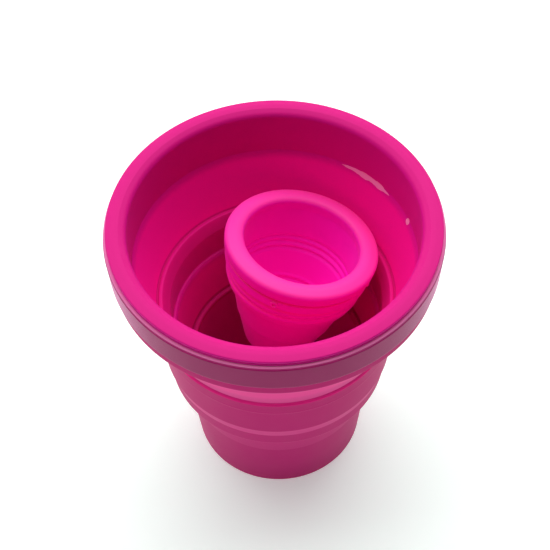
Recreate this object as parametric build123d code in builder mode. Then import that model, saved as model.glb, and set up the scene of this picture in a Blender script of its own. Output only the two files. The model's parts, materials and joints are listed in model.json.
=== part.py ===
"""Folding silicone beaker with a small folding cup standing in it.

The beaker has three stiff tiers (base, middle, mouth collar) joined by two
thin conical webs that turn inside out when it is pushed flat, and a rigid
band round the mouth.  The small cup has a rolled rim tier and a round base
tier joined by one such web, and a pull stem.  Units are millimetres, +Z is
up, and the origin is the centre of the beaker's foot on the table.
"""

from build123d import *
from math import cos, hypot, radians, sin
import os

# ---- beaker: heights, from the table up -----------------------------------
foot_recess = 0.6            # the middle of the foot stands clear of the table
floor_thickness = 1.8
base_height = 37.3           # table to the top of the base tier's inner ridge
base_shoulder_height = 21.5  # where the base wall starts to flare
base_flare_height = 30.5     # widest ring of the base, below its ridge
ridge_height = 1.1           # inner ridges stand this far above the web's foot
lower_web_rise = 13.3        # foot to seat, standing
middle_wall_height = 12.6    # thick wall of the middle tier
skirt_drop = 16.3            # skirt of the middle tier, below its thick wall
skirt_bead_height = 5.8      # plain strip at the skirt's lower edge
skirt_bevel_height = 2.2     # bevel above that strip
middle_flare_height = 3.8    # upper part of the middle tier, level with the web
middle_bevel_height = 2.9    # bevel inside its top edge
upper_web_rise = 15.4
collar_height = 16.0         # seat of the upper web to the top of the lip
collar_ledge_height = 0.6    # step at the foot of the collar's inner wall
collar_edge_rise = 1.8       # lower edge of the collar, above the web's seat
band_edge_height = 3.2       # collar left showing under the band
band_height = 9.6
band_lip_height = 1.5        # plain strip along the top of the band
lip_crown = 0.4              # lip's middle stands above its edges

# ---- beaker: radii, from the inside out -----------------------------------
base_bore = 23.4             # inside the base tier's ridge
base_taper_in = 2.0          # bore is this much smaller at the floor
foot_wall = 3.2              # from the bore at the floor to the outside of the foot
foot_ring_width = 5.0
base_shoulder = 0.3          # start of the flare, outside the web
base_flare = 1.5             # widest ring of the base, outside the web
ridge_width = 1.2
lower_web_wall = 1.2         # thickness of the lower web, measured level
lower_web_run = 2.9          # how far the lower web leans out
skirt_gap = 0.5              # lower web to the skirt round it
skirt_wall = 1.3
skirt_bead_taper = 0.5
skirt_bevel_taper = 0.7
middle_taper = 1.1           # middle wall, skirt bevel to upper flare
middle_bevel = 2.1
upper_web_wall = 1.5
upper_web_run = 4.6
collar_ledge = 0.6
collar_wall = 4.2            # bore of the collar to the band's seat
lip_overhang = 1.0           # lip beyond the band's seat
collar_edge = 0.9            # collar's lower edge beyond the band's seat
band_fit = 0.05              # clearance of the band on its seat
band_wall = 1.7
band_taper = 0.3
body_gap = 0.3               # between pieces that move apart

# ---- small cup: depths below the middle of its rim, and radii -------------
rim_radius = 21.1
rim_roll_width = 5.4
rim_crown = 1.8
rim_depth = 2.9
rim_groove = 1.2             # groove under the rim, inward from the bead
bead_inset = 1.1             # bead inside the rim's widest ring
bead_depth = 3.6
bead_height = 2.4
rim_tier_depth = 13.4
rim_tier_taper = 1.8
cup_wall = 2.1
small_web_rise = 11.2
small_web_wall = 1.4
small_web_run = 3.3
small_base_notch = 0.4       # base tier inside the foot of its web
small_base_depth = 17.0
small_floor = 2.4
stem_radius = 2.3
stem_grip_radius = 2.9
stem_grips = 3
stem_grip_pitch = 5.0
small_cup_length = 68.6      # middle of the rim to the stem's round end
vent_radius = 0.5
vent_count = 4
vent_turn = -22              # first vent, degrees round from the front

# ---- how the small cup stands ---------------------------------------------
stem_end_offset = 6.1        # stem's end from the beaker's axis
stem_end_heading = 183       # degrees from +X
lean_heading = 33
lean_clearance = 1.0

# ---- worked out from the above --------------------------------------------
base_web_z = base_height - ridge_height
middle_seat = base_web_z + lower_web_rise
middle_top = middle_seat + middle_wall_height
middle_web_z = middle_top - ridge_height
collar_seat = middle_web_z + upper_web_rise
lip_top = collar_seat + collar_height
floor_top = foot_recess + floor_thickness
skirt_foot = middle_seat - skirt_drop
collar_foot = collar_seat + collar_edge_rise
band_foot = collar_foot + band_edge_height
band_top = band_foot + band_height

base_web_bore = base_bore + ridge_width + 0.2
foot_radius = base_bore - base_taper_in + foot_wall
base_shoulder_radius = base_web_bore + lower_web_wall + base_shoulder
base_flare_radius = base_web_bore + lower_web_wall + base_flare
lower_web_top = base_web_bore + lower_web_run
skirt_bore = lower_web_top + lower_web_wall + skirt_gap
skirt_radius = skirt_bore + skirt_wall
middle_low_radius = skirt_radius + skirt_bead_taper + skirt_bevel_taper
middle_high_radius = middle_low_radius + middle_taper
middle_bore = lower_web_top + 1.0
middle_ridge = middle_bore + middle_bevel
middle_web_bore = middle_ridge + ridge_width
upper_web_top = middle_web_bore + upper_web_run
collar_bore = upper_web_top + collar_ledge
band_seat = collar_bore + collar_wall
bead_radius = rim_radius - bead_inset
rim_tier_foot = bead_radius - 0.6 - rim_tier_taper


def turned(corners, plane=Plane.XZ, axis=Axis.Z):
    """Turn an outline of (radius, height, corner rounding) about an axis."""
    points = [(radius, height) for radius, height, _ in corners]
    with BuildPart() as piece:
        with BuildSketch(plane):
            with BuildLine():
                FilletPolyline(*points, radius=[c[2] for c in corners], close=True)
            make_face()
        revolve(axis=axis)
    return piece


def save(piece, name):
    """Label a finished piece and write its file."""
    piece.part.label = name
    export_step(piece.part, f"parts/{name}.step")


def base_tier():
    """Floor, foot ring and stiff wall up to the lower web."""
    return turned([
        (0, foot_recess, 0),
        (foot_radius - foot_ring_width - 0.6, foot_recess, 0),
        (foot_radius - foot_ring_width, 0, 0.2),
        (foot_radius, 0, 0.6),
        (base_shoulder_radius, base_shoulder_height, 1.2),
        (base_flare_radius, base_flare_height, 2.5),
        (base_web_bore + lower_web_wall, base_web_z, 0),
        (base_web_bore, base_web_z, 0),
        (base_bore + ridge_width, base_height, 0.4),
        (base_bore, base_height, 0.5),
        (base_bore - base_taper_in, floor_top, 2.5),
        (0, floor_top, 0),
    ])


def web(bore, foot, rise, run, wall):
    """Thin cone that leans out as it rises, short of the tier above it."""
    return turned([
        (bore, foot, 0),
        (bore + wall, foot, 0),
        (bore + run + wall, foot + rise - body_gap, 0.2),
        (bore + run, foot + rise - body_gap, 0.2),
    ])


def middle_tier():
    """Thick ring with an inner ridge on top and a skirt below."""
    bead_top = skirt_foot + skirt_bead_height
    flare_foot = middle_web_z - middle_flare_height
    return turned([
        (skirt_bore, skirt_foot, 0.3),
        (skirt_radius, skirt_foot, 0.5),
        (skirt_radius + skirt_bead_taper, bead_top, 0.2),
        (middle_low_radius, bead_top + skirt_bevel_height, 0.3),
        (middle_high_radius, flare_foot, 0.3),
        (middle_web_bore + upper_web_wall, middle_web_z, 0),
        (middle_web_bore, middle_web_z, 0),
        (middle_ridge + ridge_width - 0.2, middle_top, 0.3),
        (middle_ridge, middle_top, 0.4),
        (middle_bore, middle_top - middle_bevel_height, 0.9),
        (middle_bore, middle_seat + 0.9, 0.4),
        (lower_web_top + 0.3, middle_seat, 0.1),
        (skirt_bore, middle_seat, 0.2),
    ])


def mouth_collar():
    """Inner wall, rounded lip, seat for the band and the edge under it."""
    lip_edge = lip_top - lip_crown
    lip_radius = band_seat + lip_overhang
    return turned([
        (upper_web_top, collar_seat, 0.1),
        (upper_web_top + upper_web_wall + 0.6, collar_seat, 0.3),
        (upper_web_top + upper_web_wall + 0.8, collar_foot, 0.4),
        (band_seat + collar_edge, collar_foot, 0.5),
        (band_seat + collar_edge, band_foot, 0.1),
        (band_seat, band_foot, 0),
        (band_seat, band_top, 0),
        (lip_radius, band_top + 0.15, 0.3),
        (lip_radius, lip_edge, 0.6),
        (band_seat - collar_wall / 3, lip_top, 8),
        (collar_bore, lip_edge, 1.0),
        (collar_bore, collar_seat + collar_ledge_height + 0.3, 0.5),
        (upper_web_top, collar_seat + collar_ledge_height, 0.3),
    ])


def rim_band():
    """Rigid ring round the collar, held between the lip and the edge."""
    bore = band_seat + band_fit
    outside = bore + band_wall
    strip_foot = band_top - band_lip_height
    return turned([
        (bore, band_foot, 0),
        (outside - band_taper, band_foot, 0.25),
        (outside, strip_foot, 0.1),
        (outside - 0.12, strip_foot + 0.15, 0.05),
        (outside - 0.12, band_top, 0.25),
        (bore, band_top, 0),
    ])


# ---- the small cup's place: it stands on its stem and leans on the wall ----
def beaker_bore(height):
    """Radius of the beaker's inside at a height, for the upper half."""
    corners = [
        (middle_bore, middle_top - middle_bevel_height),
        (middle_ridge, middle_top),
        (middle_web_bore, middle_web_z),
        (upper_web_top, collar_seat),
        (upper_web_top, collar_seat + collar_ledge_height),
        (collar_bore, collar_seat + collar_ledge_height + 0.3),
    ]
    for (low_r, low_z), (high_r, high_z) in zip(corners, corners[1:]):
        if height < high_z:
            share = max(0, (height - low_z) / (high_z - low_z))
            return low_r + share * (high_r - low_r)
    return collar_bore


def cup_plane(lean):
    """Plane of the small cup's rim, for a lean in degrees."""
    stem_end = Vector(
        stem_end_offset * cos(radians(stem_end_heading)),
        stem_end_offset * sin(radians(stem_end_heading)),
        floor_top + stem_radius + body_gap,
    )
    axis = Vector(
        sin(radians(lean)) * cos(radians(lean_heading)),
        sin(radians(lean)) * sin(radians(lean_heading)),
        cos(radians(lean)),
    )
    front = Vector(0, -1, 0) - axis * axis.dot(Vector(0, -1, 0))
    return Plane(origin=stem_end + axis * small_cup_length, x_dir=front, z_dir=axis)


def room_beside(lean):
    """Smallest level gap between the small cup's upper part and the beaker."""
    outline = [
        (rim_radius, 0.9 - rim_crown),
        (rim_radius - 0.4, rim_depth),
        (bead_radius, bead_depth),
        (bead_radius, bead_depth + bead_height),
        (bead_radius - 0.6, bead_depth + bead_height + 1.2),
        (rim_tier_foot, rim_tier_depth),
    ]
    plane = cup_plane(lean)
    gaps = []
    for (upper_r, upper_d), (lower_r, lower_d) in zip(outline, outline[1:]):
        for step in range(6):
            radius = upper_r + (lower_r - upper_r) * step / 6
            depth = upper_d + (lower_d - upper_d) * step / 6
            for turn in range(0, 360, 6):
                side = plane.x_dir * (radius * cos(radians(turn)))
                side += plane.y_dir * (radius * sin(radians(turn)))
                point = plane.origin + side - plane.z_dir * depth
                gaps.append(beaker_bore(point.Z) - hypot(point.X, point.Y))
    return min(gaps)


def resting_lean():
    """Lean at which the small cup all but touches the beaker."""
    upright, fallen = 0.0, 40.0
    for _ in range(16):
        middle = (upright + fallen) / 2
        if room_beside(middle) > lean_clearance:
            upright = middle
        else:
            fallen = middle
    return upright


cup_lean = resting_lean()
rim_plane = cup_plane(cup_lean)
cup_axis = Axis(rim_plane.origin, rim_plane.z_dir)
cup_section = Plane(rim_plane.origin, x_dir=rim_plane.x_dir, z_dir=-rim_plane.y_dir)

small_web_foot = rim_tier_depth + small_web_rise
small_base_foot = small_web_foot + small_base_depth
web_foot_radius = rim_tier_foot - 0.4 - small_web_run
small_base_radius = web_foot_radius - small_base_notch


def small_cup_rim():
    """Rolled rim, bead with its vents, and the upper wall."""
    bead_foot = bead_depth + bead_height
    mouth = rim_radius - rim_roll_width
    piece = turned([
        (rim_tier_foot - cup_wall, -rim_tier_depth, 0.3),
        (rim_tier_foot, -rim_tier_depth, 0.4),
        (bead_radius - 0.6, -bead_foot - 1.2, 0.3),
        (bead_radius - 0.7, -bead_foot - 0.5, 0.2),
        (bead_radius, -bead_foot, 0.4),
        (bead_radius, -bead_depth, 0.3),
        (bead_radius - rim_groove, -rim_depth, 0.2),
        (rim_radius - 0.4, -rim_depth + 0.4, 0.7),
        (rim_radius, rim_crown - 0.9, 1.3),
        (rim_radius - 3.1, rim_crown + 0.1, 3.5),
        (mouth, rim_crown - 0.6, 1.3),
        (mouth + 0.5, -rim_depth + 0.5, 1.5),
    ], cup_section, cup_axis)
    with piece:
        for number in range(vent_count):
            turn = vent_turn + number * 360 / vent_count
            with Locations(rim_plane * Pos(0, 0, -bead_depth - bead_height / 2) * Rot(0, 0, turn)):
                Cylinder(
                    vent_radius, bead_radius, rotation=(0, 90, 0),
                    align=(Align.CENTER, Align.CENTER, Align.MIN), mode=Mode.SUBTRACT,
                )
    return piece


def small_cup_web():
    """Cone of the small cup that turns inside out when it is pushed flat."""
    top = -rim_tier_depth - body_gap
    foot = -small_web_foot
    return turned([
        (rim_tier_foot - 0.4 - small_web_wall, top, 0.2),
        (rim_tier_foot - 0.4, top, 0.3),
        (rim_tier_foot - 0.4 - small_web_run * 0.4, (top + foot) / 2, 12),
        (web_foot_radius, foot, 0),
        (web_foot_radius - small_web_wall, foot, 0),
    ], cup_section, cup_axis)


def small_cup_base():
    """Round-bottomed lower tier."""
    foot = -small_base_foot
    return turned([
        (0, foot, 0),
        (small_base_radius * 0.45, foot, 3.5),
        (small_base_radius - 3.5, foot + 6.0, 5.0),
        (small_base_radius, -small_web_foot - 0.5, 0.3),
        (web_foot_radius, -small_web_foot, 0.1),
        (web_foot_radius - cup_wall, -small_web_foot, 0.3),
        (small_base_radius - 4.6, foot + 6.5, 4.0),
        (small_base_radius * 0.3, foot + small_floor, 2.5),
        (0, foot + small_floor, 0),
    ], cup_section, cup_axis)


def pull_stem():
    """Stem with grip rings and a round end, which the small cup stands on."""
    top = -small_base_foot
    with BuildPart() as stem:
        with BuildSketch(cup_section):
            with BuildLine():
                end = -small_cup_length - stem_radius
                FilletPolyline(
                    (0, top), (stem_grip_radius + 0.4, top), (stem_radius, top - 4.0),
                    (stem_radius, end + 0.001), (0, end), radius=[0, 2.0, stem_radius * 0.98],
                )
                Line((0, end), (0, top))
            make_face()
        revolve(axis=cup_axis)
        for number in range(stem_grips):
            depth = small_cup_length - 1.5 - number * stem_grip_pitch
            with Locations(rim_plane * Pos(0, 0, -depth)):
                Cylinder(stem_grip_radius, 1.4)
        fillet(stem.edges().filter_by(GeomType.CIRCLE).filter_by(
            lambda edge: abs(edge.radius - stem_grip_radius) < 0.01), 0.5)
    return stem


os.makedirs("parts", exist_ok=True)
save(base_tier(), "base_tier")
save(web(base_web_bore, base_web_z, lower_web_rise, lower_web_run, lower_web_wall), "lower_web")
save(middle_tier(), "middle_tier")
save(web(middle_web_bore, middle_web_z, upper_web_rise, upper_web_run, upper_web_wall), "upper_web")
save(mouth_collar(), "mouth_collar")
save(rim_band(), "rim_band")
save(small_cup_rim(), "small_cup_rim")
save(small_cup_web(), "small_cup_web")
save(small_cup_base(), "small_cup_base")
save(pull_stem(), "pull_stem")
print("lean", round(cup_lean, 2), "rim middle", rim_plane.origin, "axis", rim_plane.z_dir)
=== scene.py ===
# %% [markdown]
# # A folding silicone beaker with a small folding cup standing in it
#
# The beaker is one soft pink moulding: three stiff tiers joined by two thin cones that turn
# inside out when it is pushed flat.  A frosted plastic band keeps its mouth round.  The small
# cup is a second moulding with a thick rolled rim.  This lesson dresses the measured CAD frame
# with finished surfaces.  First the frame is loaded and its size is kept for later.

# %% Load the frame
import json
import math

import bmesh
import bpy
from mathutils import Matrix, Vector


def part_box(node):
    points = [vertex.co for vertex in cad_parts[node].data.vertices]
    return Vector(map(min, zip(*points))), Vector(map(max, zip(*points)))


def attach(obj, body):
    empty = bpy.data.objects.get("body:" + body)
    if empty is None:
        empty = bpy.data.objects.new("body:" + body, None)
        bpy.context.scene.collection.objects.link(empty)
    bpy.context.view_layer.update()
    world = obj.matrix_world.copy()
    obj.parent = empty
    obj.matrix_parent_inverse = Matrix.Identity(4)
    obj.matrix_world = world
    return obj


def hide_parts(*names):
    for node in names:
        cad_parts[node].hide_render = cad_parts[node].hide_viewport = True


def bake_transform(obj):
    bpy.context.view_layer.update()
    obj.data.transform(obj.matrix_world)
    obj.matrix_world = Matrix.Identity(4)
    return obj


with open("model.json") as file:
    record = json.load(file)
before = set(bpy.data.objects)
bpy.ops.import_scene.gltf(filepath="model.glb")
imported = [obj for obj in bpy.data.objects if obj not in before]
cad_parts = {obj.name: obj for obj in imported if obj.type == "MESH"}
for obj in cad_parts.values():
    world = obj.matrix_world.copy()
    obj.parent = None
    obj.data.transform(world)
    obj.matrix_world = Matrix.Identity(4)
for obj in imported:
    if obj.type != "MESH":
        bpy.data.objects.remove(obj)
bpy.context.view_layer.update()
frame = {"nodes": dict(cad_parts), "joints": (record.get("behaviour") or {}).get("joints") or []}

MM = 0.001

# %% [markdown]
# ## Camera
#
# The cups are seen from the front and well above, about 53 degrees down, from roughly 38 cm
# away.  A lens longer than normal keeps the mouth from looking stretched.  The small roll
# copies a hand-held view.

# %% Camera
LENS_MM = 78.5455                   # on a sensor 36 mm wide
CAMERA_SPOT = (0, -0.19195, 0.32348)
LOOK_DOWN, TURN, ROLL = math.radians(52.95), 0.0007, -0.02777

camera_data = bpy.data.cameras.new("camera")
camera_data.lens = LENS_MM
camera = bpy.data.objects.new("camera", camera_data)
bpy.context.scene.collection.objects.link(camera)
aim = (Matrix.Rotation(TURN, 4, "Z") @ Matrix.Rotation(math.pi / 2 - LOOK_DOWN, 4, "X")
       @ Matrix.Rotation(ROLL, 4, "Z"))
camera.matrix_world = Matrix.Translation(CAMERA_SPOT) @ aim
bpy.context.scene.camera = camera
print("camera", [round(v, 3) for v in camera.location], "lens", round(camera_data.lens, 1))

# %% [markdown]
# ## Floor
#
# A product like this is shot on a white sweep: a table that curves up into a wall, so there is
# no horizon.  It could be a bevelled corner between two planes.  One strip of faces bent along
# a quarter circle is simpler, and its curve is exact.

# %% Floor
def make_sweep(width=2.4, front=-1.0, back=0.9, height=1.4, bend=0.5, steps=12):
    """A white table that curves up into a wall."""
    line = [(front, 0.0), (back - bend, 0.0)]
    for step in range(1, steps + 1):
        angle = math.radians(90 * step / steps)
        line.append((back - bend + bend * math.sin(angle), bend - bend * math.cos(angle)))
    line.append((back, height))
    points = [(x, y, z) for y, z in line for x in (-width / 2, width / 2)]
    faces = [(2 * i, 2 * i + 1, 2 * i + 3, 2 * i + 2) for i in range(len(line) - 1)]
    mesh = bpy.data.meshes.new("sweep")
    mesh.from_pydata(points, [], faces)
    mesh.shade_smooth()
    sweep = bpy.data.objects.new("sweep", mesh)
    bpy.context.scene.collection.objects.link(sweep)
    return sweep


sweep = make_sweep()
print("sweep faces", len(sweep.data.polygons))

# %% [markdown]
# ## Node helpers
#
# The room light and every finish are node trees.  Wiring them by hand takes three lines for
# each node, so one helper adds a node and fills its inputs.  A key such as _0 means input
# number 0, for nodes whose inputs share a name.

# %% Add a node
def add(tree, kind, settings=(), **inputs):
    """Add a node, set its properties and fill its inputs with values or links."""
    node = tree.nodes.new(kind)
    for key, value in settings:
        setattr(node, key, value)
    for label, value in inputs.items():
        label = int(label[1:]) if label[0] == "_" else label.replace("_", " ")
        if isinstance(value, bpy.types.NodeSocket):
            tree.links.new(value, node.inputs[label])
        else:
            node.inputs[label].default_value = value
    return node


print("helper:", add.__doc__)

# %% [markdown]
# Four kinds of node come back all the time: arithmetic, a ramp from one range to another, a
# noise, and a blend of two colours.  Each gets a short helper that gives its output.

# %% Common nodes
def maths(tree, operation, *values, clamp=False):
    """Arithmetic on up to three values."""
    inputs = {f"_{i}": value for i, value in enumerate(values)}
    settings = [("operation", operation), ("use_clamp", clamp)]
    return add(tree, "ShaderNodeMath", settings, **inputs).outputs[0]


def ramp(tree, value, low, high, start=0.0, end=1.0, kind="SMOOTHSTEP"):
    """Take a value from low..high to start..end, eased at both ends unless kind is LINEAR."""
    return add(tree, "ShaderNodeMapRange", [("interpolation_type", kind)], Value=value, From_Min=low,
               From_Max=high, To_Min=start, To_Max=end).outputs["Result"]


def place(tree):
    """Where on the piece a point lies, in metres."""
    return add(tree, "ShaderNodeTexCoord").outputs["Object"]


def noise(tree, scale, detail, roughness=0.5):
    """A soft random pattern that stays with the piece."""
    return add(tree, "ShaderNodeTexNoise", Vector=place(tree), Scale=scale, Detail=detail,
               Roughness=roughness).outputs["Fac"]


def mix(tree, factor, first, second):
    """Blend two colours."""
    return add(tree, "ShaderNodeMix", [("data_type", "RGBA")], _0=factor, _6=first,
               _7=second).outputs[2]


print("helpers:", ", ".join(f.__name__ for f in (maths, ramp, place, noise, mix)))

# %% [markdown]
# ## Light
#
# A very broad soft box hangs almost overhead, a little to the left and behind.  Lips and floor
# are bright, and upright walls fall darker as they go down.  The near walls get most of their
# light back from the white floor.

# %% Key light
def soft_box(name, spot, target, size, power):
    """A flat white area light at spot that faces target."""
    data = bpy.data.lights.new(name, "AREA")
    data.shape = "RECTANGLE"
    data.size, data.size_y = size
    data.energy = power
    lamp = bpy.data.objects.new(name, data)
    lamp.location = spot
    lamp.rotation_mode = "QUATERNION"
    lamp.rotation_quaternion = (Vector(target) - Vector(spot)).to_track_quat("-Z", "Y")
    bpy.context.scene.collection.objects.link(lamp)
    return lamp


key = soft_box("key", spot=(-0.04, 0.34, 1.05), target=(0, 0, 0.06), size=(1.5, 0.9), power=14)
print("key light", [round(v, 2) for v in key.location], "W:", key.data.energy)

# %% [markdown]
# The rest of the studio is a room that is bright behind and overhead, a little brighter on the
# left, and dim in front.  It puts a pale haze on walls seen at a low angle.  More soft boxes
# could do it, but three ramps over the direction of the light have no edges to show in the
# gloss.

# %% Room light
room = bpy.data.worlds.new("room")
room.use_nodes = True
tree = room.node_tree
way = add(tree, "ShaderNodeSeparateXYZ", Vector=add(tree, "ShaderNodeTexCoord").outputs["Generated"])
behind = ramp(tree, way.outputs["Y"], 0.0, 0.9, 0.03, 0.5)
overhead = ramp(tree, way.outputs["Z"], 0.6, 1.0, 0.0, 0.3)
from_left = ramp(tree, way.outputs["X"], -0.3, -1.0, 0.0, 0.3)
strength = maths(tree, "ADD", maths(tree, "ADD", behind, overhead), from_left)
tree.links.new(strength, tree.nodes["Background"].inputs["Strength"])
tree.nodes["Background"].inputs["Color"].default_value = (1, 1, 1, 1)
bpy.context.scene.world = room
bpy.context.scene.view_settings.view_transform = "Standard"
print("room light", len(tree.nodes), "nodes")

# %% [markdown]
# ## Turned outlines
#
# Every piece here is round, like pottery.  It could be made with the Screw modifier, but then
# each edge would need a bevel of its own.  Instead the outline is drawn once, as corners of
# (radius, height, rounding) in millimetres.  First, one corner becomes an arc.

# %% One rounded corner
def corner_arc(before, here, after, rounding, steps=6):
    """Points along the arc that takes the place of a corner."""
    back, ahead = before - here, after - here
    half = back.angle(ahead) / 2
    reach = min(rounding / math.tan(half), 0.49 * back.length, 0.49 * ahead.length)
    radius = reach * math.tan(half)
    inward = (back.normalized() + ahead.normalized()).normalized()
    middle = here + inward * (radius / math.sin(half))
    start = here + back.normalized() * reach - middle
    swing = start.angle_signed(here + ahead.normalized() * reach - middle)
    points = []
    for k in range(steps + 1):
        a = -swing * k / steps
        points.append(middle + Vector((start.x * math.cos(a) - start.y * math.sin(a),
                                       start.x * math.sin(a) + start.y * math.cos(a))))
    return points


print("a right angle gives", len(corner_arc(Vector((0, 5)), Vector((0, 0)), Vector((5, 0)), 1)), "points")

# %% [markdown]
# Straight runs are cut short too, so smooth shading stays flat on the walls and only turns at
# the roundings.

# %% Whole outline
def rounded(corners, closed=True, step=0.6):
    """Points along an outline with its corners rounded and its straight runs cut short."""
    spots = [Vector(corner[:2]) for corner in corners]
    last = len(corners) - 1
    line = []
    for i, here in enumerate(spots):
        rounding = corners[i][2]
        if rounding == 0 or (not closed and i in (0, last)):
            line.append(here)
        else:
            line += corner_arc(spots[i - 1], here, spots[(i + 1) % len(spots)], rounding)
    fine = []
    for a, b in zip(line, line[1:] + line[:1] if closed else line[1:]):
        parts = max(1, math.ceil((b - a).length / step))
        fine += [a.lerp(b, k / parts) for k in range(parts)]
    return fine if closed else fine + [line[-1]]


print("a square with 1 mm roundings has", len(rounded([(1, 0, 1), (5, 0, 1), (5, 4, 1), (1, 4, 1)])),
      "points")

# %% [markdown]
# Then the outline is spun into rings of points, as on a lathe.  A point on the axis becomes one
# shared point, so a floor closes in a neat fan.  Edges sharper than 40 degrees stay crisp.

# %% Spin
def spin(name, outline, closed=True, where=Matrix.Identity(4), around=240):
    """Spin an outline in mm into a smooth mesh object in metres."""
    points, rings = [], []
    for p in outline:
        if p.x < 1e-4:
            rings.append([len(points)] * around)
            points.append(where @ Vector((0, 0, p.y * MM)))
            continue
        rings.append(list(range(len(points), len(points) + around)))
        for k in range(around):
            a = 2 * math.pi * k / around
            points.append(where @ Vector((p.x * MM * math.sin(a), -p.x * MM * math.cos(a), p.y * MM)))
    if closed:
        rings.append(rings[0])
    faces = []
    for low, high in zip(rings, rings[1:]):
        for k in range(around):
            n = (k + 1) % around
            face = tuple(dict.fromkeys((low[k], low[n], high[n], high[k])))
            if len(face) > 2:
                faces.append(face)
    mesh = bpy.data.meshes.new(name)
    mesh.from_pydata(points, [], faces)
    mesh.shade_smooth()
    mesh.set_sharp_from_angle(angle=math.radians(40))
    piece = bpy.data.objects.new(name, mesh)
    bpy.context.scene.collection.objects.link(piece)
    return piece


print("helper:", spin.__doc__)

# %% [markdown]
# ## Heights and radii of the beaker
#
# The CAD boxes give where each tier starts and ends.  Wall thicknesses and small steps are the
# moulding's own sizes, in millimetres.

# %% Heights from the frame
def span(node, axis=2):
    """Lowest and highest value of a CAD node along an axis, in mm."""
    low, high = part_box(node)
    return low[axis] / MM, high[axis] / MM


foot_low, base_top = span("base_tier")
skirt_foot, middle_top = span("middle_tier")
collar_seat, lip_top = span("mouth_collar")
band_foot, band_top = span("rim_band")
ring_foot = band_top - 0.5
lower_foot = span("lower_web")[0]
upper_foot = span("upper_web")[0]
middle_seat = span("lower_web")[1] + 0.3
print("tops:", round(base_top, 2), round(middle_top, 2), round(lip_top, 2))
print("seats:", [round(v, 2) for v in (lower_foot, middle_seat, upper_foot, collar_seat)])

# %% [markdown]
# Each cone leans outward as it rises.  Its radius at any height comes from one line, so the
# tiers above and below it can be drawn to meet it.  The cones are cut off a little inside their
# straight part.  The rounded corners then belong to the stiff tiers, and a cone meets its tiers
# edge to edge, so no seam shows.

# %% Cones between the tiers
lower_in, lower_wall, lower_lean = 24.8, 1.2, 2.9 / (middle_seat - lower_foot)
upper_in, upper_wall, upper_lean = 32.0, 1.5, 4.6 / (collar_seat - upper_foot)


def lower_cone(z, wall=0.0):
    """Radius of the lower cone at a height, inside or with the wall added."""
    return lower_in + wall + (z - lower_foot) * lower_lean


def upper_cone(z, wall=0.0):
    """Radius of the upper cone at a height, inside or with the wall added."""
    return upper_in + wall + (z - upper_foot) * upper_lean


lower_cut = (lower_foot + 1.7, middle_seat - 1.0)
upper_cut = (upper_foot + 1.5, collar_seat - 0.9)
print("cones run", [round(v, 2) for v in lower_cut + upper_cut])

# %% [markdown]
# ## Base tier
#
# The base is a bucket with a foot ring round a shallow recess.  Its wall flares near the top,
# and inside the top is a ridge that the small cup leans on.  It could be a cylinder with loops
# pushed about.  One outline from the middle of the floor, out and up and back in, keeps the
# wall's thickness in sight.

# %% Base tier
base_outline = rounded([
    (0, foot_low + 0.6, 0), (18.8, foot_low + 0.6, 0.4),            # recess under the floor
    (19.6, foot_low, 0.4), (24.6, foot_low, 0.8),                   # foot ring
    (26.3, 21.5, 1.2), (27.5, 30.5, 2.5), (26.0, lower_foot, 2),    # wall and its flare
    (lower_cone(lower_cut[0], lower_wall), lower_cut[0], 0),        # where the cone starts
    (lower_cone(lower_cut[0]), lower_cut[0], 0),
    (lower_in, lower_foot, 0.2), (24.6, base_top, 0.45), (23.4, base_top, 0.55),    # inner ridge
    (21.4, foot_low + 2.4, 3), (0, foot_low + 2.4, 0),              # inside wall and floor
], closed=False)
base = spin("beaker_base", base_outline, closed=False)
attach(base, "base")
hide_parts("base_tier")
print("base tier", len(base.data.polygons), "faces")

# %% [markdown]
# ## Middle tier
#
# The middle tier is a ring.  A skirt hangs outside below the cone's seat, with a bevel along
# its foot.  Above it come a fine mould line and a small shoulder where the upper cone starts.
# Inside is a second ridge.  The mould line is drawn as three points 0.04 mm apart, because a
# bump would vanish from the side.

# %% Middle tier
middle_outline = rounded([
    (lower_cone(lower_cut[1]), lower_cut[1], 0),                    # where the lower cone ends
    (lower_cone(lower_cut[1], lower_wall), lower_cut[1], 0),
    (28.9, middle_seat, 0.25), (29.4, middle_seat, 0.2),            # gap between cone and skirt
    (29.4, skirt_foot, 0.35), (30.7, skirt_foot, 0.6),              # foot of the skirt
    (31.1, skirt_foot + 5.0, 0.5), (31.95, skirt_foot + 8.7, 0.6),  # bevel
    (32.62, upper_foot - 8.65, 0), (32.66, upper_foot - 8.5, 0), (32.64, upper_foot - 8.35, 0),
    (32.85, upper_foot - 4.5, 0.8),                                 # shoulder
    (upper_cone(upper_foot - 3.6, upper_wall), upper_foot - 3.6, 0.5),
    (upper_cone(upper_cut[0], upper_wall), upper_cut[0], 0),        # where the upper cone starts
    (upper_cone(upper_cut[0]), upper_cut[0], 0),
    (upper_in + 0.1, upper_foot + 0.35, 0.6), (31.7, middle_top - 0.1, 0.45),
    (30.8, middle_top, 0.5), (28.7, middle_top - 2.9, 1.2),         # inner ridge
    (28.7, middle_seat + 0.9, 0.4), (28.1, middle_seat + 0.7, 0.3), (27.7, middle_seat, 0.4),
])
middle = spin("beaker_middle", middle_outline)
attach(middle, "middle")
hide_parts("middle_tier")
print("middle tier", len(middle.data.polygons), "faces")

# %% [markdown]
# ## Mouth collar
#
# The collar is the stiff ring at the mouth.  It has a seat for the frosted band, a thin ring
# above the band and a broad soft lip that rolls over into a straight inner wall.  The lip's
# outer rounding is wide and its inner one narrower, so the highlight sits near the outside.

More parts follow.
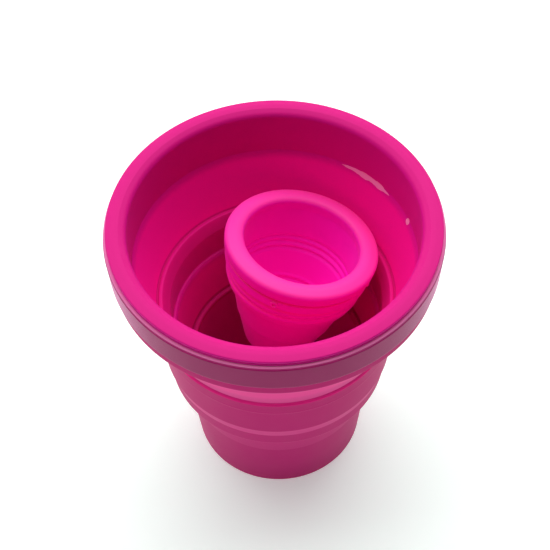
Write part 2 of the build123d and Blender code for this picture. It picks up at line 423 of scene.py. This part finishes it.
# %% Mouth collar
collar_outline = rounded([
    (upper_cone(upper_cut[1]), upper_cut[1], 0),                    # where the upper cone ends
    (upper_cone(upper_cut[1], upper_wall), upper_cut[1], 0),
    (38.15, collar_seat, 0.5), (38.8, collar_seat + 1.8, 0.8), (42.3, collar_seat + 1.8, 0.35),
    (42.3, band_foot, 0.15), (41.4, band_foot, 0.1), (41.4, ring_foot, 0.05),       # band seat
    (42.35, ring_foot, 0.15), (42.4, band_top + 0.1, 0.2), (42.05, band_top + 0.25, 0.1),
    (42.4, band_top + 0.4, 0.12),                                   # thin ring above the band
    (42.4, lip_top - 0.3, 1.3), (40.3, lip_top, 5), (39.1, lip_top - 0.12, 0.4),    # lip
    (37.2, lip_top - 1.0, 2.6), (37.2, collar_seat + 1.5, 0.8), (36.72, collar_seat + 0.4, 0.8),
])
collar = spin("beaker_collar", collar_outline, around=288)
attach(collar, "collar")
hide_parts("mouth_collar")
print("collar", len(collar.data.polygons), "faces")

# %% [markdown]
# ## Thin cones
#
# The cones are the parts that fold, so they can't ride on one body, and they are not attached to any.
# Each is spun between its two cuts and left unattached.

# %% Thin cones
def cone_outline(radius, cut, wall):
    """The straight part of a cone between its two cuts."""
    low, high = cut
    return rounded([(radius(low), low, 0), (radius(low, wall), low, 0),
                    (radius(high, wall), high, 0), (radius(high), high, 0)])


lower = spin("beaker_lower_web", cone_outline(lower_cone, lower_cut, lower_wall))
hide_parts("lower_web")
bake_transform(lower)
upper = spin("beaker_upper_web", cone_outline(upper_cone, upper_cut, upper_wall))
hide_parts("upper_web")
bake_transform(upper)
print("cones", len(lower.data.polygons), len(upper.data.polygons), "faces")

# %% [markdown]
# ## Frosted band
#
# A stiff plastic hoop sits in a seat round the collar.  It has a plain strip along its top edge,
# set in a little, with a fine step under it.  The step is real, so it catches light at any angle.

# %% Band
band = spin("frosted_band", rounded([
    (41.45, band_foot, 0), (42.85, band_foot, 0.45), (43.15, ring_foot - 1.0, 0.12),    # face
    (43.0, ring_foot - 0.86, 0.05), (43.0, ring_foot, 0.35), (41.45, ring_foot, 0),     # strip
]), around=288)
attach(band, "collar")
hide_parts("rim_band")
print("band", len(band.data.polygons), "faces")

# %% [markdown]
# ## The small cup's own axis
#
# The small cup leans, so its outline is spun about its own line.  The record gives the line's
# direction.  Seen along that line a round piece is a disc, so the middle of its extents is on
# the line.

# %% Small cup's axis
RIM_CROWN = 1.8                     # the roll rises this far above the rim's zero, mm

fold = next(j for j in frame["joints"] if j["name"] == "small_fold")
up = Vector(fold["axis"]).normalized()
front = (Vector((0, -1, 0)) - up * up.dot(Vector((0, -1, 0)))).normalized()
side = front.cross(up)


def extent(node, direction):
    """Lowest and highest reach of a CAD node along a direction, in metres."""
    reach = [v.co.dot(direction) for v in frame["nodes"][node].data.vertices]
    return min(reach), max(reach)


centre = sum(extent("small_cup_rim", side)) / 2 * side + sum(extent("small_cup_rim", front)) / 2 * front
rim_height = extent("small_cup_rim", up)[1] - RIM_CROWN * MM
small_place = (Matrix.Translation(centre + up * rim_height)
               @ Matrix((side, -front, up)).transposed().to_4x4())
stem_length = (rim_height - extent("pull_stem", up)[0]) / MM
base_depth = (rim_height - extent("small_cup_base", up)[0]) / MM
print("leans", round(math.degrees(up.angle((0, 0, 1))), 1), "degrees, stem end at",
      round(stem_length, 1), "mm")

# %% [markdown]
# ## Small cup
#
# Heights are counted down from the rim.  The thick soft roll comes first, then a groove, a bead
# with air holes, two more ripples and the upper wall.  The ripples are modelled, not bumped,
# because they show at the cup's edge.

# %% Small cup rim
SMALL_WALL = 1.4
small_cut = (-15.2, -23.8)


def small_cone(z):
    """Outer radius of the small cup's folding cone at a height below its rim."""
    return 16.95 - (-13.7 - z) * 0.285


small_rim = spin("small_cup_rim_tier", rounded([
    (small_cone(small_cut[0]) - SMALL_WALL, small_cut[0], 0), (small_cone(small_cut[0]), small_cut[0], 0),
    (16.75, -14.7, 0.3), (18.0, -13.6, 1.0), (19.05, -10.8, 1.6), (18.5, -9.8, 0.3),    # low ripple
    (19.6, -8.3, 1.2), (18.8, -6.8, 0.3), (20.0, -6.1, 0.3),                            # high ripple
    (20.0, -3.8, 0.25), (18.5, -3.2, 0.3),                                              # bead, groove
    (20.7, -2.5, 0.8), (21.1, 0.9, 1.3), (18.0, 1.9, 9), (15.7, 1.2, 1.3),              # roll
    (16.2, -2.4, 1.5), (15.8, -11.4, 0.4), (16.2, -12.3, 0.5), (15.5, -13.2, 0.5),      # inside
    (15.95, -14.1, 0.5), (15.25, -14.9, 0.4),
]), where=small_place)
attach(small_rim, "small_rim")
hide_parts("small_cup_rim")
print("small cup rim", len(small_rim.data.polygons), "faces")

# %% [markdown]
# The small cup's cone folds like the beaker's, so like theirs it is left unattached.  It is spun about the
# small cup's own line, between the rim and the round base.

# %% Small cup cone
small_web = spin("small_cup_cone", rounded([
    (small_cone(small_cut[0]) - SMALL_WALL, small_cut[0], 0), (15.6, -15.9, 0.4), (14.75, -16.9, 0.6),
    (small_cone(small_cut[1]) - SMALL_WALL, small_cut[1], 0),
    (small_cone(small_cut[1]), small_cut[1], 0), (small_cone(small_cut[0]), small_cut[0], 0),
]), where=small_place)
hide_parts("small_cup_web")
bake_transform(small_web)
print("small cup cone", len(small_web.data.polygons), "faces")

# %% [markdown]
# The round base closes the small cup.  It tapers like an egg cup down to where the stem grows
# out of it.

# %% Small cup base
small_base = spin("small_cup_base_tier", rounded([
    (0, -base_depth, 0), (6.1, -base_depth, 3.5), (10.0, -base_depth + 6, 5),           # outside
    (13.5, -25.1, 0.4), (13.9, -24.6, 0.3),
    (small_cone(small_cut[1]), small_cut[1], 0), (small_cone(small_cut[1]) - SMALL_WALL, small_cut[1], 0),
    (12.1, -24.6, 0.3), (12.3, -25.5, 0.4), (11.2, -26.6, 0.5),                         # inside
    (8.9, -base_depth + 6.5, 4), (4.0, -base_depth + 2.4, 2.5), (0, -base_depth + 2.4, 0),
], closed=False), closed=False, where=small_place)
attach(small_base, "small_base")
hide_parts("small_cup_base")
print("small cup base", len(small_base.data.polygons), "faces")

# %% [markdown]
# ## Air holes
#
# Four air holes go through the bead and let the cup turn inside out.  They could be drawn as
# dark dots, but then no light would come through.  A boolean cuts them, which leaves a clean
# round edge in the spun wall.

# %% Cut the air holes
def cut_holes(piece, holes, radius, near, far):
    """Cut round holes along the given directions out of a piece, in metres."""
    mesh = bmesh.new()
    for turned in holes:
        move = turned @ Matrix.Translation((0, 0, (near + far) / 2))
        bmesh.ops.create_cone(mesh, cap_ends=True, segments=32, radius1=radius, radius2=radius,
                              depth=far - near, matrix=move)
    cutter_mesh = bpy.data.meshes.new("cutter")
    mesh.to_mesh(cutter_mesh)
    mesh.free()
    cutter = bpy.data.objects.new("cutter", cutter_mesh)
    bpy.context.scene.collection.objects.link(cutter)
    cut = piece.modifiers.new("holes", "BOOLEAN")
    cut.operation, cut.solver, cut.object = "DIFFERENCE", "EXACT", cutter
    shaped = piece.evaluated_get(bpy.context.evaluated_depsgraph_get())
    result = bpy.data.meshes.new_from_object(shaped)
    piece.modifiers.clear()
    piece.data = result
    bpy.data.objects.remove(cutter)


VENT_COUNT, VENT_RADIUS, VENT_HEIGHT, VENT_HEADING = 4, 0.5, -4.8, -22
vent_ways = []
for number in range(VENT_COUNT):
    angle = math.radians(VENT_HEADING + number * 360 / VENT_COUNT)
    outward = Vector((-math.sin(angle), -math.cos(angle), 0))
    vent_ways.append(small_place @ Matrix.Translation((0, 0, VENT_HEIGHT * MM))
                     @ outward.to_track_quat("Z", "Y").to_matrix().to_4x4())
faces_before = len(small_rim.data.polygons)
cut_holes(small_rim, vent_ways, VENT_RADIUS * MM, 12 * MM, 22 * MM)
print("rim faces", faces_before, "then", len(small_rim.data.polygons))

# %% [markdown]
# The mould left a small raised lip round each hole.  Each lip is a tiny turned ring laid on the
# bead, and rides with the rim.

# %% Lips round the air holes
vent_lips = []
for number, way in enumerate(vent_ways):
    lip = spin(f"small_cup_vent_{number + 1}", rounded([
        (VENT_RADIUS, 19.8, 0), (1.15, 19.8, 0), (1.0, 20.45, 0.25), (0.55, 20.5, 0.15),
    ], step=0.2), where=way, around=32)
    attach(lip, "small_rim")
    vent_lips.append(lip)
print("lips", len(vent_lips))

# %% [markdown]
# ## Pull stem
#
# The stem grows out of the round base and ends in a soft point.  Three rings give fingers a
# grip.  It is one turned outline, with the same four corners repeated for each ring.

# %% Pull stem
STEM_RADIUS, GRIP_RADIUS, GRIP_GAP = 2.3, 2.9, 5.0
stem_line = [(0, -base_depth + 0.6, 0), (3.6, -base_depth + 0.2, 0.4), (STEM_RADIUS, -base_depth - 4, 2)]
for number in (2, 1, 0):
    z = -stem_length + 3.8 + number * GRIP_GAP
    stem_line += [(STEM_RADIUS, z + 0.9, 0.2), (GRIP_RADIUS, z + 0.6, 0.35),
                  (GRIP_RADIUS, z - 0.6, 0.35), (STEM_RADIUS, z - 0.9, 0.2)]
stem_line += [(STEM_RADIUS, -stem_length, 2.2), (0, -stem_length, 0)]
stem = spin("small_cup_stem", rounded(stem_line, closed=False), closed=False, where=small_place, around=64)
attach(stem, "small_base")
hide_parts("pull_stem")
print("stem", len(stem.data.polygons), "faces")

# %% [markdown]
# ## Shared effects
#
# Six small node groups hold what several finishes use: the fine grain the mould leaves, the slow drift of
# pigment, which also carries painted through-light, the patchy satin of handled silicone, a belt between
# two heights, the way a surface faces, for painted light and shade, and a ragged streak of painted
# reflection.  They give out colours, values and normals only, so each finish keeps its own shader.

# %% Empty group
COLOUR, VALUE, VECTOR = "NodeSocketColor", "NodeSocketFloat", "NodeSocketVector"


def new_group(name, inputs, outputs):
    """An empty node group with its sockets, and its input and output nodes."""
    tree = bpy.data.node_groups.new(name, "ShaderNodeTree")
    for label, kind, value in inputs:
        socket = tree.interface.new_socket(label, in_out="INPUT", socket_type=kind)
        if value is not None:
            socket.default_value = value
    for label, kind in outputs:
        tree.interface.new_socket(label, in_out="OUTPUT", socket_type=kind)
    return tree, tree.nodes.new("NodeGroupInput").outputs, tree.nodes.new("NodeGroupOutput").inputs


print("socket kinds", COLOUR, VALUE, VECTOR)

# %% [markdown]
# A spark-eroded mould leaves a grain of about a third of a millimetre on silicone.  Two noises
# are added, a fine one for the grain and a coarse one for the slight orange peel.  The height
# goes through bump nodes, because grain this small needs no real geometry.

# %% Mould grain
grain_tree, given, out = new_group(
    "mould grain", [("Size", VALUE, 0.0004), ("Depth", VALUE, 0.1), ("Peel", VALUE, 0.05)],
    [("Normal", VECTOR), ("Speck", VALUE)])
fine = noise(grain_tree, maths(grain_tree, "DIVIDE", 1.0, given["Size"]), 3.0, 0.6)
coarse = noise(grain_tree, 330.0, 2.0)
peel = add(grain_tree, "ShaderNodeBump", Strength=given["Peel"], Distance=0.0004, Height=coarse)
grain = add(grain_tree, "ShaderNodeBump", Strength=given["Depth"], Distance=0.00012, Height=fine,
            Normal=peel.outputs["Normal"])
grain_tree.links.new(grain.outputs["Normal"], out["Normal"])
grain_tree.links.new(fine, out["Speck"])
print("mould grain", len(grain_tree.nodes), "nodes")

# %% [markdown]
# Pigment is never perfectly mixed.  The drift group moves a colour a few percent between a deep and a thin
# tone by a wide noise, and adds a very small speckle from the grain.  Its Thinness input also pushes the
# colour toward the thin tone, which the beaker uses for painted light on its thin cones.

# %% Pigment drift
drift_tree, given, out = new_group(
    "pigment drift", [("Thick", COLOUR, None), ("Thin", COLOUR, None), ("Thinness", VALUE, 0.0),
                      ("Speck", VALUE, 0.5), ("Amount", VALUE, 0.12)], [("Color", COLOUR)])
swing = maths(drift_tree, "SUBTRACT", noise(drift_tree, 38.0, 3.0, 0.55), 0.5)
scaled = maths(drift_tree, "MULTIPLY_ADD", swing, given["Amount"], given["Thinness"], clamp=True)
tone = mix(drift_tree, scaled, given["Thick"], given["Thin"])
brightness = ramp(drift_tree, given["Speck"], 0.3, 0.7, 0.97, 1.03, kind="LINEAR")
tinted = add(drift_tree, "ShaderNodeHueSaturation", Value=brightness, Color=tone)
drift_tree.links.new(tinted.outputs["Color"], out["Color"])
print("pigment drift", len(drift_tree.nodes), "nodes")

# %% [markdown]
# Silicone that has been handled is not evenly matt: fingers polish it in soft patches.  The
# satin group varies roughness by a mid-sized noise round the value it is given.

# %% Satin patches
satin_tree, given, out = new_group(
    "satin patches", [("Roughness", VALUE, 0.5), ("Spread", VALUE, 0.06)], [("Roughness", VALUE)])
centred = maths(satin_tree, "SUBTRACT", noise(satin_tree, 120.0, 4.0, 0.6), 0.5)
level = maths(satin_tree, "MULTIPLY_ADD", centred, given["Spread"], given["Roughness"], clamp=True)
satin_tree.links.new(level, out["Roughness"])
print("satin patches", len(satin_tree.nodes), "nodes")

# %% [markdown]
# Some effects belong to a height: the cones are thin, so more light comes through them, and the
# band has a cleaner strip along its top.  The belt group gives 1 between two heights and fades
# out over a set width.

# %% Belt mask
belt_tree, given, out = new_group(
    "belt", [("Low", VALUE, 0.0), ("High", VALUE, 1.0), ("Fade", VALUE, 0.001)], [("Mask", VALUE)])
height = add(belt_tree, "ShaderNodeSeparateXYZ", Vector=place(belt_tree)).outputs["Z"]
low_end = maths(belt_tree, "ADD", given["Low"], given["Fade"])
high_end = maths(belt_tree, "ADD", given["High"], given["Fade"])
rise = ramp(belt_tree, height, given["Low"], low_end)
fall = ramp(belt_tree, height, given["High"], high_end, 1.0, 0.0)
belt_tree.links.new(maths(belt_tree, "MULTIPLY", rise, fall), out["Mask"])
print("belt", len(belt_tree.nodes), "nodes")

# %% [markdown]
# The masks in this group place painted light and painted shade by how a surface faces.  What faces up gets
# a tone of its own where the overhead light falls, what faces down is painted lighter, standing for light
# from the white table, and the outside of a turned piece is painted darker than its inside, a painted
# shade for the light that goes to and fro inside.  The group compares the surface's direction with up and
# with away from the beaker's axis.

# %% Facing masks for painted light and shade
# Masks for painted light and shade, by the way a surface faces.
light_side_tree, _, out = new_group("light_side", [], [("Up", VALUE), ("Down", VALUE), ("Out", VALUE)])
facing = add(light_side_tree, "ShaderNodeNewGeometry").outputs["True Normal"]
tilt = add(light_side_tree, "ShaderNodeSeparateXYZ", Vector=facing).outputs["Z"]
flat = add(light_side_tree, "ShaderNodeVectorMath", [("operation", "MULTIPLY")], _0=place(light_side_tree),
           _1=(1, 1, 0)).outputs["Vector"]
away = add(light_side_tree, "ShaderNodeVectorMath", [("operation", "NORMALIZE")], _0=flat).outputs["Vector"]
along = add(light_side_tree, "ShaderNodeVectorMath", [("operation", "DOT_PRODUCT")], _0=away,
            _1=facing).outputs["Value"]
light_side_tree.links.new(ramp(light_side_tree, tilt, 0.2, 0.85), out["Up"])
light_side_tree.links.new(ramp(light_side_tree, tilt, -0.04, -0.3), out["Down"])
light_side_tree.links.new(ramp(light_side_tree, along, 0.1, 0.9), out["Out"])
print("light_side", len(light_side_tree.nodes), "nodes")

# %% [markdown]
# Where the collar's inner wall meets the upper cone a thin pale streak with a ragged edge is painted, with
# a dot beside it: a painted reflection.  The streak group marks a stretch of a ring: it compares the
# heading round the axis with a middle, and the height with a ragged half width that shrinks to nothing at
# both ends.

# %% Painted reflection streak mask
reflection_streak_tree, given, out = new_group(
    "reflection_streak", [("Heading", VALUE, 0.0), ("Reach", VALUE, 0.2), ("Height", VALUE, 0.0),
               ("Width", VALUE, 0.0005)], [("Mask", VALUE)])
spot = add(reflection_streak_tree, "ShaderNodeSeparateXYZ", Vector=place(reflection_streak_tree)).outputs
heading = maths(reflection_streak_tree, "ARCTAN2", spot["Y"], spot["X"])
share = maths(reflection_streak_tree, "DIVIDE", maths(reflection_streak_tree, "SUBTRACT", heading, given["Heading"]),
              given["Reach"])
taper = maths(reflection_streak_tree, "SUBTRACT", 1.0, maths(reflection_streak_tree, "MULTIPLY", share, share))
uneven = ramp(reflection_streak_tree, noise(reflection_streak_tree, 260.0, 2.0), 0.3, 0.7, 0.45, 1.2, kind="LINEAR")
limit = maths(reflection_streak_tree, "MULTIPLY", maths(reflection_streak_tree, "MULTIPLY", taper, uneven), given["Width"])
distance = maths(reflection_streak_tree, "ABSOLUTE", maths(reflection_streak_tree, "SUBTRACT", spot["Z"], given["Height"]))
reflection_streak_tree.links.new(maths(reflection_streak_tree, "LESS_THAN", distance, limit), out["Mask"])
print("reflection_streak", len(reflection_streak_tree.nodes), "nodes")

# %% [markdown]
# ## Finishes
#
# Each finish starts from the same helper: a principled shader with its constants set, grain
# on its normal and satin patches in its roughness.  The constants sit on the shader's own
# sockets, so they stay with it wherever the model goes.

# %% Start of a finish
INDEX_OF_REFRACTION, SHEEN_ROUGHNESS = 1.42, 0.45


def group(tree, source, **inputs):
    """Place one of the shared groups."""
    return add(tree, "ShaderNodeGroup", [("node_tree", source)], **inputs).outputs


def start_finish(name, roughness, spread, size, depth, peel, gloss, sheen=0.0, glow=0.0):
    """A material with grain and satin patches; its colour is linked later."""
    material = bpy.data.materials.new(name)
    material.use_nodes = True
    tree = material.node_tree
    shader = tree.nodes["Principled BSDF"].inputs
    for label, value in (("IOR", INDEX_OF_REFRACTION), ("Specular IOR Level", gloss),
                         ("Sheen Weight", sheen), ("Sheen Roughness", SHEEN_ROUGHNESS),
                         ("Emission Strength", glow)):
        shader[label].default_value = value
    grain_out = group(tree, grain_tree, Size=size, Depth=depth, Peel=peel)
    satin_out = group(tree, satin_tree, Roughness=roughness, Spread=spread)
    tree.links.new(grain_out["Normal"], shader["Normal"])
    tree.links.new(satin_out["Roughness"], shader["Roughness"])
    return material, tree, shader, grain_out["Speck"]


print("helper:", start_finish.__doc__)

# %% [markdown]
# A colour is then built like paint: a base colour first, and each further tone laid on where
# its mask is white.  Masks are multiplied where two conditions have to hold.

# %% Tones and masks
def tone_stack(tree, colour, layers):
    """Lay tones over a colour, each where its mask is white."""
    for mask, tone in layers:
        colour = mix(tree, mask, colour, tone)
    return colour


def belt_mask(tree, low, high, fade):
    """White between two heights, fading out over a width, all in mm."""
    return group(tree, belt_tree, Low=low * MM, High=high * MM, Fade=fade * MM)["Mask"]


def both_masks(tree, first, second):
    """White only where two masks are both white."""
    return maths(tree, "MULTIPLY", first, second)


print("helpers:", ", ".join(f.__name__ for f in (tone_stack, belt_mask, both_masks)))

# %% [markdown]
# ## Beaker silicone
#
# The beaker's silicone is a deep cerise.  Its thin cones are painted a little lighter and redder: painted
# light, standing for light from outside that comes through a wall of 1.2 to 1.5 mm.

# %% Beaker silicone base
# The lighter cone tone is painted light, standing for light that comes through the thin cones.
CERISE, THROUGH_LIT_CERISE = (0.74, 0.006, 0.31, 1), (0.90, 0.006, 0.32, 1)

beaker_finish, tree, shader, speck = start_finish(
    "beaker silicone", roughness=0.5, spread=0.12, size=0.0004, depth=0.12, peel=0.03, gloss=0.13,
    sheen=0.01, glow=0.17)
lower_belt = belt_mask(tree, lower_foot - 1, middle_seat - 2, 3)
upper_belt = belt_mask(tree, upper_foot - 1, collar_seat - 1.5, 3)
pigment = group(tree, drift_tree, Thick=CERISE, Thin=THROUGH_LIT_CERISE,
                Thinness=maths(tree, "MAXIMUM", lower_belt, upper_belt), Speck=speck)
print("beaker base colour", len(tree.nodes), "nodes")

# %% [markdown]
# The outside and the two inner ridges are painted darker, a painted shade.  What faces down is painted
# lighter, standing for light from the white table.  The lip's top is painted darker and less blue, a
# painted shade where the overhead light falls, and the shoulder is painted redder, a painted highlight.
# The pale streak, a painted reflection, is laid on last, and only where the surface faces in: its heading
# and height alone would also mark the outside of the cone.

# %% Beaker silicone tones
SHADED, PAINTED_FLOOR_LIGHT, SHOULDER_HIGHLIGHT = (0.60, 0.005, 0.18, 1), (0.80, 0.05, 0.29, 1), (0.98, 0.008, 0.28, 1)
LIP_TOP_SHADE, STREAK_REFLECTION = (0.67, 0.007, 0.215, 1), (1.0, 0.30, 0.60, 1)
REFLECTION_STREAKS = ((45.5, 13.5), (16.5, 1.4))       # heading and reach, in degrees

light_side = group(tree, light_side_tree)
inward = maths(tree, "SUBTRACT", 1.0, light_side["Out"])
outside = both_masks(tree, light_side["Out"], belt_mask(tree, -10, band_foot, 1))
shoulder = belt_mask(tree, upper_foot - 5.0, upper_foot - 4.0, 0.6)
layers = [
    # Painted shade: the two inner ridges and the outside are painted darker.
    (belt_mask(tree, middle_top - 3.4, middle_top - 0.3, 0.6), SHADED),
    (belt_mask(tree, base_top - 1.6, base_top, 0.6), SHADED),
    (outside, SHADED),
    # Painted light: what faces down is paler, standing for light from the white table.
    (light_side["Down"], PAINTED_FLOOR_LIGHT),
    # Painted highlight: the shoulder is painted redder and brighter.
    (both_masks(tree, outside, shoulder), SHOULDER_HIGHLIGHT),
    # Painted shade: the lip's top is darker and less blue where the overhead light falls.
    (both_masks(tree, light_side["Up"], belt_mask(tree, lip_top - 3, lip_top, 1)), LIP_TOP_SHADE)]
# Painted reflection: a pale streak and a dot inside the collar.
for heading, reach in REFLECTION_STREAKS:
    reflection_streak = group(tree, reflection_streak_tree, Heading=math.radians(heading), Reach=math.radians(reach),
                   Height=(collar_seat + 0.9) * MM, Width=1.05 * MM)
    layers.append((both_masks(tree, reflection_streak["Mask"], inward), STREAK_REFLECTION))
tree.links.new(tone_stack(tree, pigment["Color"], layers), shader["Base Color"])
print("beaker tones", len(layers))

# %% [markdown]
# Light that comes through the upper cone is stood in by a weak glow, masked to the cone.
# Scattering under the surface would be truer, but it draws dark lines where a cone meets its
# tiers.

# %% Light through the upper cone
through = tone_stack(tree, (0, 0, 0, 1), [(upper_belt, (0.55, 0.001, 0.15, 1))])
tree.links.new(through, shader["Emission Color"])
print("beaker finish", len(tree.nodes), "nodes")

# %% [markdown]
# ## Small cup silicone
#
# The small cup is softer silicone in a brighter, bluer pink.  The top of its roll is painted paler, a
# painted highlight, and the whole cup has a very slight glow, painted light standing for light through its
# thin wall.

# %% Small cup silicone
small_finish, tree, shader, speck = start_finish(
    "small cup silicone", roughness=0.48, spread=0.1, size=0.0003, depth=0.08, peel=0.04, gloss=0.22,
    sheen=0.03, glow=0.035)
pigment = group(tree, drift_tree, Thick=(0.96, 0.006, 0.53, 1), Thin=(0.99, 0.008, 0.58, 1),
                Thinness=0.5, Speck=speck)
# Painted highlight: what faces up on the roll is paler.
roll_top_highlight = both_masks(tree, group(tree, light_side_tree)["Up"], belt_mask(tree, 63, 90, 3))
tones = tone_stack(tree, pigment["Color"], [(roll_top_highlight, (0.97, 0.035, 0.37, 1))])
tree.links.new(tones, shader["Base Color"])
# A very slight glow over the whole cup: painted light standing for light through its thin wall.
shader["Emission Color"].default_value = (0.8, 0.002, 0.5, 1)
print("small cup finish", len(tree.nodes), "nodes")

# %% [markdown]
# ## Frosted plastic
#
# The band is a clear plastic with a blasted face, so it takes the silicone's colour from behind but looks
# greyer, and turns milky where it is seen edge-on.  That milkiness is light scattered by the tiny blasted
# pits, so it is left to the shader's own sheen, with a pale pink tint.  The strip along its top is less
# blasted, and ends in a pale line that is a painted highlight along the top edge.

# %% Frosted plastic
band_finish, tree, shader, speck = start_finish(
    "frosted plastic", roughness=0.42, spread=0.08, size=0.0003, depth=0.2, peel=0.0, gloss=0.1,
    sheen=1.0)
shader["Sheen Roughness"].default_value = 0.3
shader["Sheen Tint"].default_value = (1.0, 0.48, 0.74, 1)
deep = mix(tree, belt_mask(tree, ring_foot - 1.1, ring_foot, 0.2), (0.33, 0.004, 0.11, 1),
           (0.50, 0.004, 0.16, 1))
pigment = group(tree, drift_tree, Thick=deep, Thin=(0.55, 0.08, 0.26, 1), Thinness=0.1, Speck=speck,
                Amount=0.3)
# Painted highlight: a pale line along the band's top edge.
top_edge_highlight = belt_mask(tree, ring_foot - 0.32, ring_foot + 1, 0.1)
tones = tone_stack(tree, pigment["Color"], [(top_edge_highlight, (0.85, 0.2, 0.48, 1))])
tree.links.new(tones, shader["Base Color"])
print("band finish", len(tree.nodes), "nodes")

# %% [markdown]
# ## Floor
#
# The floor is matt white paper on a light table: it shines a little by itself, so shadows on
# it stay pale.  Close to the beaker it is toned slightly green, which cancels the pink that the
# cups throw on it and leaves the shadow a neutral grey.

# %% Floor finish
NEAR_PAPER, FAR_PAPER = (0.77, 0.96, 0.88, 1), (0.92, 0.92, 0.92, 1)

floor_finish, tree, shader, speck = start_finish(
    "white paper", roughness=0.8, spread=0.05, size=0.0012, depth=0.03, peel=0.0, gloss=0.1, glow=0.34)
flat = add(tree, "ShaderNodeVectorMath", [("operation", "MULTIPLY")], _0=place(tree),
           _1=(1, 1, 0)).outputs["Vector"]
away = add(tree, "ShaderNodeVectorMath", [("operation", "LENGTH")], _0=flat).outputs["Value"]
paper = mix(tree, ramp(tree, away, 0.02, 0.17), NEAR_PAPER, FAR_PAPER)
fleck = group(tree, drift_tree, Thick=paper, Thin=paper, Speck=speck, Amount=0.0)
tree.links.new(fleck["Color"], shader["Base Color"])
shader["Emission Color"].default_value = (1, 1, 1, 1)
print("floor finish", len(tree.nodes), "nodes")

# %% [markdown]
# ## Give each piece its finish
#
# A slot names the material a piece has in the model.  The beaker's five pieces are one moulding, so they
# share one slot, and so do the small cup's.

# %% Finishes
for piece in (base, middle, collar, lower, upper):
    piece.data.materials.append(beaker_finish)
for piece in (small_rim, small_web, small_base, stem, *vent_lips):
    piece.data.materials.append(small_finish)
band.data.materials.append(band_finish)
sweep.data.materials.append(floor_finish)

# %% [markdown]
